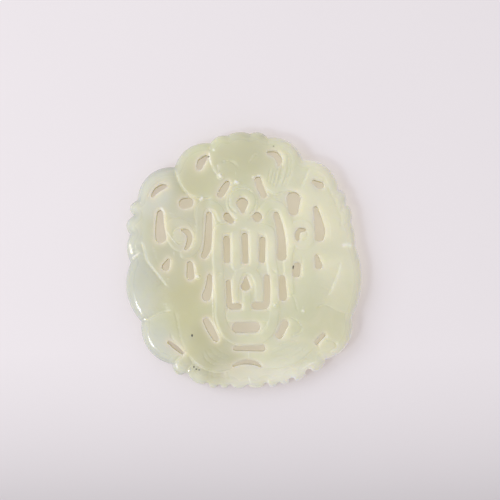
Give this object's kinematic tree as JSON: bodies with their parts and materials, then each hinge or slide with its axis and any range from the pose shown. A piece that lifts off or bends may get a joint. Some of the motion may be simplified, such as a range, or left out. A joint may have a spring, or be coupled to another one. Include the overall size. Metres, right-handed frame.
{
  "type": "jade carving",
  "caption": "Openwork jade plaque, carved from one slab: a bat over a barred frame between scrolls, with leaves, peaches and a frilled edge; flat back.",
  "frame": {"origin": "under the middle of the outline, on the surface the plaque lies on", "axes": "+Z out of the carved face, through the thickness; +Y towards the bat at the top; +X to the right of the carved face"},
  "size_m": [0.0552, 0.06, 0.006],
  "materials": {
    "jade": "polished, translucent pale celadon green"
  },
  "bodies": {
    "root": {"jade_plaque": "jade"}
  },
  "joints": []
}
